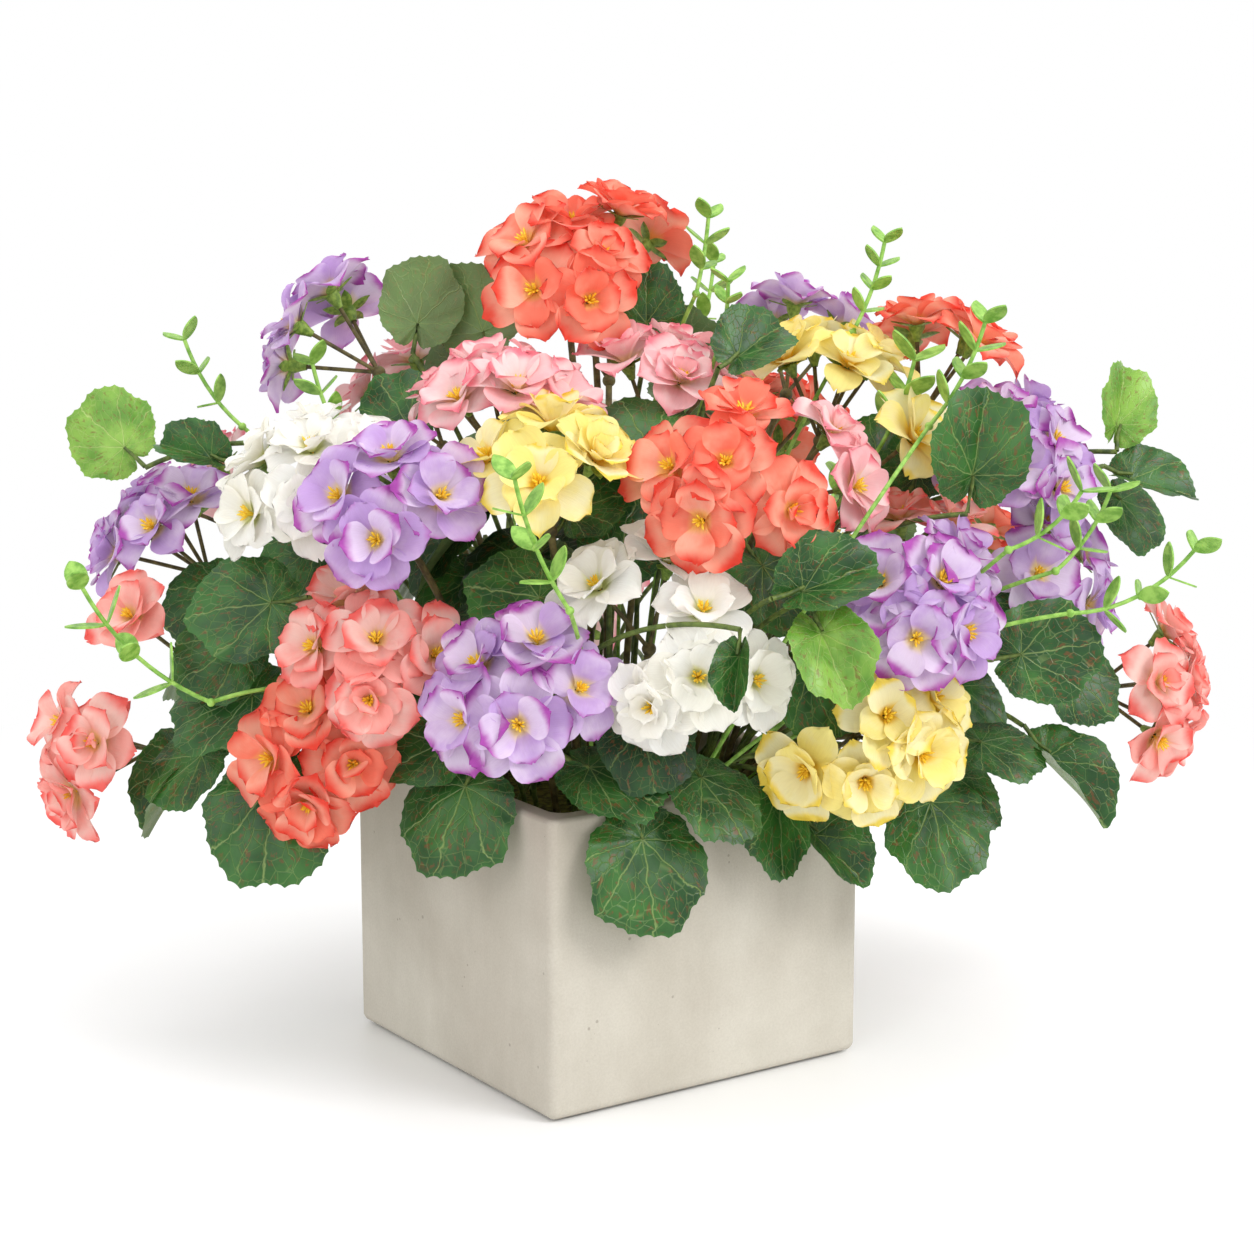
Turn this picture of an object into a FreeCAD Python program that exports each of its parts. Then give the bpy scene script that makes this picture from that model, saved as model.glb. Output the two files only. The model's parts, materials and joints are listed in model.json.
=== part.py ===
import FreeCAD, Part
import Mesh
import itertools
import math
import os
from collections import namedtuple

from FreeCAD import Vector

# A square cast-cement planter box filled with dry floral foam, a moss cover and an
# arrangement of silk begonia sprays, begonia leaves and moulded boxwood sprigs.
# Millimetres. Z is up, and the origin is the middle of the base on the table.
# The box's faces look along X and Y. Directions are (compass bearing, elevation) in
# degrees: bearing 0 is +X and 90 is +Y, elevation 90 is straight up.

# ---------------------------------------------------------------- planter box
BOX_SIDE = 160.0
BOX_HEIGHT = 128.0
BOX_WALL = 10.0
BOX_FLOOR = 12.0
BOX_CORNER_RADIUS = 4.0
BOX_RIM_RADIUS = 2.0
CAVITY_CORNER_RADIUS = 6.0

# -------------------------------------------------- pad, floral foam and moss
PAD_THICKNESS = 1.0
PAD_INSET = 6.0
FOAM_CLEARANCE = 0.5
FOAM_DROP = 22.0
MOSS_THICKNESS = 8.0

# ------------------------------------------------------- wired flower stems
STEM_RADIUS = 1.5
STEM_RISE = 0.12
LEAST_BOW = 0.25
WIRE_DEPTH = 55.0
WIRE_STANDOFF = 3.0
WIRE_COLLAR = 0.5
SOCKET_CLEARANCE = 0.1
SOCKET_SPACING = 5.5
SOCKET_REACH = 60.0
KNUCKLE_RADIUS = 3.0
KNUCKLE_LATITUDE = 65
BEND_GAP = 0.4

# ------------------------------------------------------------ silk florets
PEDICEL_LENGTH = 33.0
PEDICEL_RADIUS = 0.9
PEDICEL_ROOT_SHARE = 0.6
CALYX_BASE_RADIUS = 1.6
CALYX_RADIUS = 4.0
CALYX_HEIGHT = 7.0
OUTER_PETAL_RADIUS = 13.5
OUTER_PETAL_HEIGHT = 9.0
INNER_PETAL_BASE_RADIUS = 7.0
INNER_PETAL_RADIUS = 9.5
INNER_PETAL_HEIGHT = 6.0
STAMEN_RADIUS = 2.2
STAMEN_HEIGHT = 2.0
DOME_RADIUS = PEDICEL_LENGTH + CALYX_HEIGHT + OUTER_PETAL_HEIGHT

# ------------------------------------------------- begonia leaves and sprigs
LEAF_THICKNESS = 1.0
LEAF_STALK_RADIUS = 1.1
LEAF_STALK_GAP = 0.9
LEAF_STALK_RISE = 0.22
SPRIG_STEM_RADIUS = 0.9
SPRIG_KNUCKLE_RADIUS = 1.8
SPRIG_BOW = 0.12
SPRIG_LEAFLET_THICKNESS = 0.8
SPRIG_LEAFLET_WIDTH_SHARE = 0.55
SPRIG_LEAFLET_RISE = 35.0

# ------------------------------------------------ how the arrangement is settled
# Wires are bent, and leaves and sprigs are nudged, until they clear what is already there.
CLEARANCE = 0.6
BALL_SPACING = 2.5
NUDGE_STEP = 4.0
NUDGE_STEPS = 3
WIRE_RISES = (0, 0.08, -0.06, 0.16, 0.26, 0.38)
WIRE_SWINGS = (0, 25, -25, 50, -50, 80, -80)
SWING_LIMIT = 12.0
SWING_STEPS = 4
MESH_DEVIATION = 0.1

# ------------------------------------------------------------- worked out
RIM_Z = PAD_THICKNESS + BOX_HEIGHT
FLOOR_Z = PAD_THICKNESS + BOX_FLOOR
FOAM_TOP_Z = RIM_Z - FOAM_DROP
FOAM_HEIGHT = FOAM_TOP_Z - FLOOR_Z
MOSS_TOP_Z = FOAM_TOP_Z + MOSS_THICKNESS
CAVITY_SIDE = BOX_SIDE - 2 * BOX_WALL
FOAM_SIDE = CAVITY_SIDE - 2 * FOAM_CLEARANCE
UP = Vector(0, 0, 1)
NUDGE_REACH = range(-NUDGE_STEPS, NUDGE_STEPS + 1)
NUDGES = sorted(
    (Vector(*steps) * NUDGE_STEP for steps in itertools.product(NUDGE_REACH, repeat=3)),
    key=lambda nudge: nudge.Length,
)

# The plan of the arrangement. Its points are (x, y, height above the rim), for a box with
# this side; over a wider or narrower box they spread with it.
PLAN_SIDE = 160.0

# A spray is one wired stem: hub is the knuckle where its pedicels fork, faces is where the
# flower head looks, and each floret stands DOME_RADIUS from the hub, (across, up) to the side.
Spray = namedtuple("Spray", "name colour hub faces florets")

SPRAYS = (
    Spray(
        "coral_crown", "coral", hub=(9, 41, 190), faces=(230, 40),
        florets=((-20, 15), (-12, -18), (5, 32), (22, 5), (18, -24)),
    ),
    Spray(
        "coral_tip", "coral", hub=(15, 31, 196), faces=(355, 55),
        florets=((-12, 20), (8, -15)),
    ),
    Spray(
        "purple_crown_left", "purple", hub=(-65, 80, 166), faces=(115, 30),
        florets=((28, 5), (-22, 10), (4, 24), (18, -25)),
    ),
    Spray(
        "pink_crown_left", "pink", hub=(-45, 5, 131), faces=(220, 60),
        florets=((18, 44), (-17, -7), (12, 1), (42, 12), (-41, 18), (-11, 25)),
    ),
    Spray(
        "pink_crown", "pink", hub=(21, -9, 136), faces=(280, 80),
        florets=((-20, 12), (12, 6), (32, -19), (-14, -26)),
    ),
    Spray(
        "yellow_left", "yellow", hub=(-54, -41, 111), faces=(230, 55),
        florets=((-32, 8), (0, -18), (28, 6), (2, 38)),
    ),
    Spray(
        "white_left", "white", hub=(-110, 40, 106), faces=(210, 40),
        florets=((-38, 19), (3, 18), (14, -16), (-24, -22), (-13, 50), (40, 34)),
    ),
    Spray(
        "purple_left", "purple", hub=(-101, -5, 106), faces=(230, 40),
        florets=((-4, 20), (-30, -2), (24, -2), (-6, -28)),
    ),
    Spray(
        "purple_far_left", "purple", hub=(-130, 120, 76), faces=(160, 45),
        florets=((-24, -10), (28, 0), (-2, 14), (4, -26), (26, 30)),
    ),
    Spray(
        "pink_left_single", "pink", hub=(-155, 94, 46), faces=(205, 35),
        florets=((0, 0),),
    ),
    Spray(
        "pink_far_left", "pink", hub=(-160, 120, 1), faces=(195, 10),
        florets=((-20, 12), (12, 6), (-8, -26)),
    ),
    Spray(
        "pink_front_left", "pink", hub=(-105, 5, 46), faces=(230, 30),
        florets=((-20, 38), (2, 4), (34, 0), (-36, 4), (0, -26)),
    ),
    Spray(
        "coral_front_left", "coral", hub=(-115, 25, 16), faces=(225, 10),
        florets=((-6, 20), (18, -6), (-28, -6), (-6, -30)),
    ),
    Spray(
        "purple_front", "purple", hub=(-70, -52, 36), faces=(230, 30),
        florets=((0, -18), (30, 2), (6, 28), (-24, 14), (-32, -16)),
    ),
    Spray(
        "white_centre", "white", hub=(-22, -66, 62), faces=(240, 45),
        florets=((-31, 10), (10, 26)),
    ),
    Spray(
        "white_front", "white", hub=(-15, -84, 51), faces=(240, 30),
        florets=((0, -14), (4, 20), (32, -16), (-27, -32)),
    ),
    Spray(
        "coral_front", "coral", hub=(10, -80, 121), faces=(240, 30),
        florets=((4, 38), (-8, 2), (-24, -28), (26, -22), (-42, 6)),
    ),
    Spray(
        "pink_mid_right", "pink", hub=(40, -65, 116), faces=(285, 30),
        florets=((14, 20), (6, -12)),
    ),
    Spray(
        "yellow_crown_right", "yellow", hub=(89, -37, 137), faces=(285, 80),
        florets=((-26, 14), (-10, -18), (20, -16), (10, 22), (40, 8)),
    ),
    Spray(
        "yellow_right_low", "yellow", hub=(87, -60, 118), faces=(270, 50),
        florets=((10, -10),),
    ),
    Spray(
        "coral_crown_right", "coral", hub=(135, -50, 146), faces=(10, 60),
        florets=((3, 31), (-32, 12), (-7, -6), (24, 4)),
    ),
    Spray(
        "purple_upper_right", "purple", hub=(150, -75, 111), faces=(260, 45),
        florets=((-8, -16), (33, 37), (25, 1), (-1, 20), (22, -31), (-35, 0)),
    ),
    Spray(
        "purple_right", "purple", hub=(75, -105, 66), faces=(250, 30),
        florets=((-20, 8), (11, 7), (38, 33), (-6, -22), (24, -20)),
    ),
    Spray(
        "pink_right", "pink", hub=(97, -93, 69), faces=(250, 65),
        florets=((-10, 20), (18, 12)),
    ),
    Spray(
        "purple_far_right", "purple", hub=(160, -75, 66), faces=(285, 25),
        florets=((2, 30), (32, 8), (-26, 2), (16, -24)),
    ),
    Spray(
        "pink_far_right", "pink", hub=(205, -90, 21), faces=(280, 10),
        florets=((36, 38), (-8, 4), (26, 2), (-5, -30), (30, -36)),
    ),
    Spray(
        "yellow_front_right", "yellow", hub=(60, -100, 21), faces=(245, 10),
        florets=((-7, -20), (4, 12), (41, 26), (23, -8), (-44, -18)),
    ),
    Spray(
        "white_back", "white", hub=(60, 115, 96), faces=(60, 40),
        florets=((0, 0), (28, 4), (-28, 6), (12, 28), (-12, -28), (18, -26)),
    ),
    Spray(
        "coral_back", "coral", hub=(120, 55, 106), faces=(25, 45),
        florets=((0, 2), (30, 0), (-28, 10), (4, 32), (8, -28)),
    ),
    Spray(
        "purple_back", "purple", hub=(-5, 145, 61), faces=(90, 30),
        florets=((0, 14), (28, 0), (-28, 0), (2, -18)),
    ),
    Spray(
        "yellow_back", "yellow", hub=(155, 70, 31), faces=(25, 20),
        florets=((-16, 10), (16, 12), (0, -18)),
    ),
    Spray(
        "pink_back", "pink", hub=(85, 140, 21), faces=(60, 15),
        florets=((-16, 12), (16, 8), (0, -20)),
    ),
    Spray(
        "pink_back_left", "pink", hub=(-95, 130, 86), faces=(130, 40),
        florets=((0, 14), (20, -12), (-20, -10)),
    ),
    Spray(
        "coral_back_right", "coral", hub=(190, 0, 51), faces=(355, 25),
        florets=((0, 20), (24, -4), (-24, -4)),
    ),
    Spray(
        "yellow_back_crown", "yellow", hub=(50, 70, 156), faces=(60, 60),
        florets=((0, 18), (24, -6), (-22, -10)),
    ),
    Spray(
        "purple_back_crown", "purple", hub=(110, 15, 151), faces=(30, 60),
        florets=((0, 16), (24, -8), (-22, -10)),
    ),
    Spray(
        "pink_back_crown", "pink", hub=(-22, 98, 128), faces=(110, 50),
        florets=((0, 16), (22, -10), (-24, -8)),
    ),
)
# Sprays that reach out far enough for their wire to be bent on its own, and where along the
# stem, from the socket to the hub, the bend is.
BENDING_SPRAYS = {"purple_crown_left": 0.72, "pink_far_left": 0.72, "pink_far_right": 0.72}

# A leaf is a thin blade: centre, where its upper face looks, the turn of its tip from straight
# up (180 hangs down, negative to the left), length and width.
Leaf = namedtuple("Leaf", "centre faces turn length width")

LEAVES = {
    "front": (
        Leaf((-42, -94, -23), (262, 20), 180, 56, 56),
        Leaf((-100, -38, -3), (210, 28), -170, 54, 54),
        Leaf((-52, -84, 15), (250, 58), 130, 48, 44),
        Leaf((-8, -96, 9), (262, 50), 165, 46, 40),
        Leaf((22, -98, -11), (225, 15), 175, 50, 28),
        Leaf((52, -98, -27), (268, 40), 150, 42, 30),
        Leaf((92, -118, -21), (240, 30), 170, 54, 46),
        Leaf((-75, -55, 96), (230, 40), -80, 44, 44),
        Leaf((-45, -45, 116), (235, 40), 30, 44, 42),
        Leaf((15, -138, 99), (245, 40), 70, 48, 34),
        Leaf((8, -146, 71), (240, 30), 160, 44, 34),
        Leaf((-30, -142, 67), (215, 20), 180, 30, 16),
        Leaf((30, -85, 86), (245, 35), 150, 46, 42),
        Leaf((45, -105, 41), (240, 30), 160, 46, 40),
        Leaf((-20, -45, 106), (245, 35), 20, 44, 40),
    ),
    "left": (
        Leaf((-152, 25, -7), (228, 25), 180, 60, 58),
        Leaf((-165, 42, 31), (210, 40), -120, 56, 46),
        Leaf((-168, 72, 3), (205, 35), -140, 42, 36),
        Leaf((-158, 28, 79), (230, 30), -100, 50, 48),
        Leaf((-160, 52, 55), (220, 35), -130, 46, 44),
        Leaf((-150, 95, 66), (215, 30), -130, 44, 42),
        Leaf((-165, 92, -7), (178, 35), -170, 54, 34),
        Leaf((-165, 135, 141), (225, 15), -50, 42, 42),
        Leaf((-142, 100, 136), (235, 45), -70, 36, 24),
        Leaf((-105, -12, 23), (230, 35), 160, 48, 42),
        Leaf((-70, 5, 76), (230, 30), -160, 44, 42),
        Leaf((-115, 60, 93), (220, 30), -130, 42, 38),
    ),
    "right": (
        Leaf((122, -150, 59), (235, 20), 80, 48, 46),
        Leaf((152, -135, -1), (280, 45), 160, 54, 34),
        Leaf((118, -128, 13), (255, 55), 120, 40, 34),
        Leaf((112, -112, -7), (255, 35), 170, 40, 34),
        Leaf((200, -110, 153), (265, 15), 20, 40, 30),
        Leaf((205, -125, 121), (260, 60), 120, 42, 34),
        Leaf((165, -125, 36), (255, 30), 140, 44, 38),
        Leaf((122, -105, 31), (250, 35), 170, 42, 36),
        Leaf((205, -105, 99), (265, 30), 150, 38, 32),
        Leaf((95, -118, 139), (240, 5), 10, 52, 42),
        Leaf((118, -92, 146), (250, 15), 30, 40, 34),
        Leaf((105, -60, 133), (255, 30), 40, 44, 38),
        Leaf((125, -112, 71), (250, 35), 130, 42, 38),
    ),
    "crown": (
        Leaf((-50, 72, 193), (240, 5), 10, 42, 38),
        Leaf((-32, 55, 193), (220, 0), -20, 44, 44),
        Leaf((30, 25, 196), (235, 10), 0, 38, 34),
        Leaf((38, -52, 189), (245, 45), 50, 40, 32),
        Leaf((-12, -45, 153), (225, 50), -30, 50, 44),
        Leaf((-70, 55, 153), (215, 30), -40, 42, 38),
        Leaf((-15, 95, 171), (95, 30), 20, 42, 38),
        Leaf((75, 45, 176), (45, 35), -20, 42, 38),
    ),
    "back": (
        Leaf((0, 120, -9), (90, 25), 180, 56, 54),
        Leaf((95, 105, -11), (50, 25), 180, 58, 56),
        Leaf((125, 20, -13), (10, 25), 180, 54, 52),
        Leaf((-70, 118, -11), (105, 25), 175, 52, 50),
        Leaf((130, -40, -1), (350, 30), 170, 48, 44),
        Leaf((155, 110, 66), (40, 25), 90, 50, 46),
        Leaf((30, 165, 106), (75, 35), 60, 46, 44),
        Leaf((-60, 160, 61), (110, 30), -60, 48, 44),
        Leaf((190, 45, 86), (15, 30), -60, 46, 44),
        Leaf((60, 175, 51), (70, 20), 150, 46, 42),
        Leaf((-120, 165, 31), (130, 25), 150, 48, 44),
        Leaf((195, 50, 1), (15, 30), 160, 50, 44),
        Leaf((90, 95, 66), (50, 30), 180, 48, 44),
        Leaf((30, 110, 131), (80, 45), 10, 44, 42),
        Leaf((120, 75, 156), (40, 45), 20, 44, 40),
        Leaf((-100, 95, 36), (140, 30), -150, 48, 44),
    ),
}
# The undergrowth: rings of leaves that fill the inside of the mound wherever there is room.
# A ring is (distance from the middle, height above the rim, elevation, leaves round it).
UNDERGROWTH = (
    (88, 26, 30, 13),
    (50, 16, 40, 9),
    (62, 48, 40, 12),
    (95, 62, 30, 13),
    (36, 74, 45, 7),
    (60, 92, 45, 10),
    (25, 112, 60, 5),
)
UNDERGROWTH_LEAF = (46, 43)

# A boxwood sprig: where it clears the foliage, its tip, its pairs of leaflets and their length.
Sprig = namedtuple("Sprig", "start tip pairs leaflet")

SPRIGS = (
    Sprig((-118, 108, 143), (-130, 138, 179), 3, 13),
    Sprig((-85, 72, 146), (-88, 95, 179), 3, 14),
    Sprig((45, -5, 201), (55, 0, 233), 3, 13),
    Sprig((35, -40, 191), (35, -42, 209), 2, 11),
    Sprig((95, -55, 181), (112, -55, 219), 4, 12),
    Sprig((90, -105, 151), (115, -110, 193), 4, 15),
    Sprig((90, -160, 106), (118, -172, 129), 3, 16),
    Sprig((130, -145, 91), (155, -150, 123), 3, 15),
    Sprig((125, -160, 76), (180, -175, 99), 4, 15),
    Sprig((-80, -95, 89), (-105, -95, 143), 4, 15),
    Sprig((-175, 30, 41), (-222, 48, 91), 4, 17),
    Sprig((70, -90, 131), (92, -90, 171), 3, 18),
    Sprig((65, 170, 96), (90, 205, 133), 4, 15),
    Sprig((185, 80, 86), (225, 105, 116), 4, 15),
    Sprig((-70, 175, 91), (-95, 205, 121), 3, 15),
    Sprig((100, 70, 171), (120, 85, 206), 3, 13),
)

def heading(bearing, elevation):
    """The unit vector towards a compass bearing and elevation."""
    b, e = math.radians(bearing), math.radians(elevation)
    return Vector(math.cos(b) * math.cos(e), math.sin(b) * math.cos(e), math.sin(e))


def face_frame(faces):
    """The outward, across and up directions of something that looks along faces."""
    out = heading(*faces)
    across = heading(faces[0] + 90, 0)
    return out, across, out.cross(across)


def planned(point):
    """Where a point of the plan is over this box."""
    spread = BOX_SIDE / PLAN_SIDE
    return Vector(point[0] * spread, point[1] * spread, RIM_Z + point[2])


def turned(point, pivot, axis, angle):
    """A point turned about an axis through a pivot, by degrees."""
    return pivot + FreeCAD.Rotation(axis, angle).multVec(point - pivot)


# -------------------------------------------------------- box, pad, foam and moss


def rounded_block(side, height, base_z, edge_radius):
    """A square block centred on the Z axis, with rounded upright edges."""
    block = Part.makeBox(side, side, height, Vector(-side / 2, -side / 2, base_z))
    upright = [e for e in block.Edges if abs(e.tangentAt(e.FirstParameter).z) > 0.9]
    return block.makeFillet(edge_radius, upright)


def edges_at(shape, z):
    """The edges of a shape that lie flat at one height."""
    return [e for e in shape.Edges if abs(e.BoundBox.ZMin - z) < 0.01 and e.BoundBox.ZLength < 0.01]


def planter_box():
    """The cast shell: square outside and inside, open on top, its rim slightly eased."""
    outer = rounded_block(BOX_SIDE, BOX_HEIGHT, PAD_THICKNESS, BOX_CORNER_RADIUS)
    outer = outer.makeFillet(BOX_CORNER_RADIUS, edges_at(outer, PAD_THICKNESS))
    depth = BOX_HEIGHT - BOX_FLOOR
    shell = outer.cut(rounded_block(CAVITY_SIDE, depth, FLOOR_Z, CAVITY_CORNER_RADIUS))
    return shell.makeFillet(BOX_RIM_RADIUS, edges_at(shell, RIM_Z))


def base_pad():
    """The thin felt sheet glued under the box."""
    return rounded_block(BOX_SIDE - 2 * PAD_INSET, PAD_THICKNESS, 0, BOX_CORNER_RADIUS)


def drilled(block, wires):
    """A block with a hole for the foot of every wire."""
    depth = WIRE_STANDOFF + WIRE_DEPTH + SOCKET_CLEARANCE
    holes = [
        Part.makeCylinder(wire.radius + SOCKET_CLEARANCE, depth, wire.foot, UP * -1)
        for wire in wires
    ]
    return block.cut(holes)


# ----------------------------------------------------- the room that is still free


class Room:
    """The room round the planter: what is taken, as small balls sorted into cells."""

    CELL = 8.0

    def __init__(self):
        self.cells = {}

    def cell(self, point):
        return tuple(math.floor(value / self.CELL) for value in point)

    def take(self, owner, balls):
        """Mark balls, which are (centre, radius), as taken by owner."""
        for centre, radius in balls:
            self.cells.setdefault(self.cell(centre), []).append((centre, radius, owner))

    def blocked_by_box(self, centre, radius):
        """Whether a ball is in or too near the walls or the moss."""
        reach = max(abs(centre.x), abs(centre.y))
        margin = radius + CLEARANCE
        if reach > BOX_SIDE / 2 + margin:
            return False
        top = RIM_Z if reach > CAVITY_SIDE / 2 - margin else MOSS_TOP_Z
        return centre.z < top + margin

    def is_clear(self, owner, balls):
        """Whether balls keep clear of the box and of what others have taken."""
        for centre, radius in balls:
            if self.blocked_by_box(centre, radius):
                return False
            i, j, k = self.cell(centre)
            for column in range(i - 1, i + 2):
                for row in range(j - 1, j + 2):
                    for layer in range(k - 1, k + 2):
                        for other, other_radius, other_owner in self.cells.get((column, row, layer), ()):
                            gap = centre.distanceToPoint(other) - radius - other_radius
                            if gap < CLEARANCE and other_owner != owner:
                                return False
        return True


def balls_along(curve, radius, first=0.0, last=1.0):
    """Balls along the stretch of an arc between two shares of its length."""
    length = curve.length() * (last - first)
    steps = max(1, math.ceil(length / BALL_SPACING))
    for step in range(steps + 1):
        share = first + (last - first) * step / steps
        yield curve.value(curve.LastParameter * share), radius


def balls_over(centre, long_half, wide_half, radius):
    """Balls over a flat oval, given the vectors from its centre to its long and wide sides."""
    rings = math.ceil(max(long_half.Length, wide_half.Length) / BALL_SPACING)
    for ring in range(rings + 1):
        share = ring / rings
        count = max(1, math.ceil(2 * math.pi * ring))
        for place in range(count):
            angle = 2 * math.pi * place / count
            offset = long_half * (share * math.cos(angle)) + wide_half * (share * math.sin(angle))
            yield centre + offset, radius


# ------------------------------------------------------------------------- wires


Wire = namedtuple("Wire", "foot curve radius")


def arch(start, end, rise, swing):
    """The arc from start to end that bows by rise times their distance.

    It bows upwards, turned about the straight line between them by swing degrees. One that
    stands nearly upright bows less, and a little sideways.
    """
    chord = end - start
    along = chord * (1 / chord.Length)
    bow = UP - along * along.dot(UP)
    share = max(bow.Length, LEAST_BOW)
    way = FreeCAD.Rotation(along, swing).multVec(bow.normalize())
    return Part.Arc(start, (start + end) * 0.5 + way * (chord.Length * rise * share), end)


def tube(curve, radius, first=0.0, last=1.0):
    """A round tube along the stretch of an arc between two shares of its length."""
    angle = curve.LastParameter
    stretch = curve.toShape(first * angle, last * angle)
    ring = Part.makeCircle(radius, curve.value(first * angle), curve.tangent(first * angle)[0])
    return Part.Wire([stretch]).makePipe(Part.Face(Part.Wire([ring])))


def is_sound(shape, least_volume):
    """Whether a shape is one closed solid with at least that volume."""
    if len(shape.Solids) != 1 or not shape.isValid():
        return False
    mesh = Mesh.Mesh(shape.tessellate(MESH_DEVIATION))
    return mesh.isSolid() and mesh.Volume > least_volume


def knuckle(radius, hub):
    """A ball with its top and bottom flattened."""
    return Part.makeSphere(radius, hub, UP, -KNUCKLE_LATITUDE, KNUCKLE_LATITUDE)


def joined(shape, branches):
    """One solid from a shape and the branches that meet in it."""
    least_volume = max(branch.Volume for branch in branches)
    for branch in branches:
        shape = shape.fuse(branch)
    if not is_sound(shape, least_volume):
        raise ValueError("branches that should meet don't join")
    return shape.Solids[0]


def pin_in_foam(wire):
    """The straight end of a wire, from a collar above the moss down into the foam."""
    pin = Part.makeCylinder(wire.radius, WIRE_STANDOFF + WIRE_DEPTH, wire.foot, UP * -1)
    return pin.fuse(Part.makeSphere(wire.radius + WIRE_COLLAR, wire.foot))


def feet_towards(target, taken):
    """The free places on the moss for a wire to the target, nearest its side first."""
    run = math.hypot(target.x, target.y)
    rise = max(target.z - MOSS_TOP_Z, 1)
    reach = SOCKET_REACH * BOX_SIDE / PLAN_SIDE * min(1, run / rise)
    bearing = math.degrees(math.atan2(target.y, target.x))
    step = SOCKET_SPACING * 0.6
    for ring in range(int(reach / step) + 1):
        for turn in range(0, 60, 10):
            for side in {turn, -turn}:
                place = heading(bearing + side, 0) * (reach - ring * step)
                foot = place + UP * (MOSS_TOP_Z + WIRE_STANDOFF)
                if all(foot.distanceToPoint(other) >= SOCKET_SPACING for other in taken):
                    yield foot


def settle_wire(room, owner, target, radius, rise, taken, onward=None):
    """The first wire to the target that clears what is there, trying feet and then bows.

    One that has to go onward in some direction never arrives against it.
    """
    for foot in feet_towards(target, taken):
        for more in WIRE_RISES:
            for swing in WIRE_SWINGS:
                curve = arch(foot, target, rise + more, swing)
                if onward and curve.tangent(curve.LastParameter)[0].dot(onward) < 0:
                    continue
                balls = list(balls_along(curve, radius))
                if room.is_clear(owner, balls):
                    room.take(owner, balls)
                    taken.append(foot)
                    return Wire(foot, curve, radius)
    return None


# ------------------------------------------------------------------ flower sprays


def floret_directions(spray):
    """Where each floret of a spray stands, as unit vectors from the hub."""
    out, across, up = face_frame(spray.faces)
    for sideways, upwards in spray.florets:
        way = out * DOME_RADIUS + across * sideways + up * upwards
        yield way.normalize()


def spray_balls(spray):
    """Balls that fill a spray's florets, calyces and pedicels."""
    hub = planned(spray.hub)
    yield hub, KNUCKLE_RADIUS
    for way in floret_directions(spray):
        level = way.cross(UP)
        side = (level if level.Length > LEAST_BOW else way.cross(Vector(1, 0, 0))).normalize()
        steps = math.ceil(PEDICEL_LENGTH / BALL_SPACING)
        for step in range(steps):
            yield hub + way * (PEDICEL_LENGTH * step / steps), PEDICEL_RADIUS
        layers = (
            (0, CALYX_BASE_RADIUS),
            (CALYX_HEIGHT / 2, CALYX_RADIUS),
            (CALYX_HEIGHT, CALYX_RADIUS),
            (CALYX_HEIGHT + OUTER_PETAL_HEIGHT / 2, OUTER_PETAL_RADIUS * 0.75),
            (CALYX_HEIGHT + OUTER_PETAL_HEIGHT, OUTER_PETAL_RADIUS),
            (CALYX_HEIGHT + OUTER_PETAL_HEIGHT + INNER_PETAL_HEIGHT, INNER_PETAL_RADIUS),
        )
        for height, width in layers:
            middle = hub + way * (PEDICEL_LENGTH + height)
            yield from balls_over(middle, side * width, way.cross(side) * width, BALL_SPACING / 2)


def bend_point(spray, wire):
    """Where a bending spray's wire is bent."""
    return wire.curve.value(wire.curve.LastParameter * BENDING_SPRAYS[spray.name])


def bend_axis(spray, wire):
    """The level axis, square to the wire, that a bending spray nods about."""
    along = wire.curve.tangent(wire.curve.LastParameter * BENDING_SPRAYS[spray.name])[0]
    return along.cross(UP).normalize()


def take_swing(room, spray, wire):
    """Mark what a bending spray takes over its whole swing."""
    pivot, axis = bend_point(spray, wire), bend_axis(spray, wire)
    balls = list(spray_balls(spray))
    balls.extend(balls_along(wire.curve, wire.radius, BENDING_SPRAYS[spray.name], 1.0))
    for step in range(-SWING_STEPS, SWING_STEPS + 1):
        angle = SWING_LIMIT * step / SWING_STEPS
        room.take(spray.name, [(turned(centre, pivot, axis, angle), r) for centre, r in balls])


def pedicels(spray):
    """The short stalks from just inside a spray's knuckle to its florets."""
    root = KNUCKLE_RADIUS * PEDICEL_ROOT_SHARE
    length = PEDICEL_LENGTH - root
    hub = planned(spray.hub)
    return [
        Part.makeCylinder(PEDICEL_RADIUS, length, hub + way * root, way)
        for way in floret_directions(spray)
    ]


def whole_stem(spray, wire):
    """A spray's stem, all of it: the wire, its straight end in the foam and its fork."""
    branches = [*pedicels(spray), tube(wire.curve, STEM_RADIUS), pin_in_foam(wire)]
    return joined(knuckle(KNUCKLE_RADIUS, planned(spray.hub)), branches)


def lower_stem(spray, wire):
    """The part of a bending spray's stem that stays put, up to just before its bend."""
    last = BENDING_SPRAYS[spray.name] - (KNUCKLE_RADIUS + BEND_GAP) / wire.curve.length()
    return pin_in_foam(wire).fuse(tube(wire.curve, STEM_RADIUS, 0.0, last)).Solids[0]


def upper_stem(spray, wire):
    """The part of a bending spray's stem beyond its bend, with its fork."""
    outer = tube(wire.curve, STEM_RADIUS, BENDING_SPRAYS[spray.name], 1.0)
    branches = [*pedicels(spray), outer, knuckle(KNUCKLE_RADIUS, bend_point(spray, wire))]
    return joined(knuckle(KNUCKLE_RADIUS, planned(spray.hub)), branches)


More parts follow.
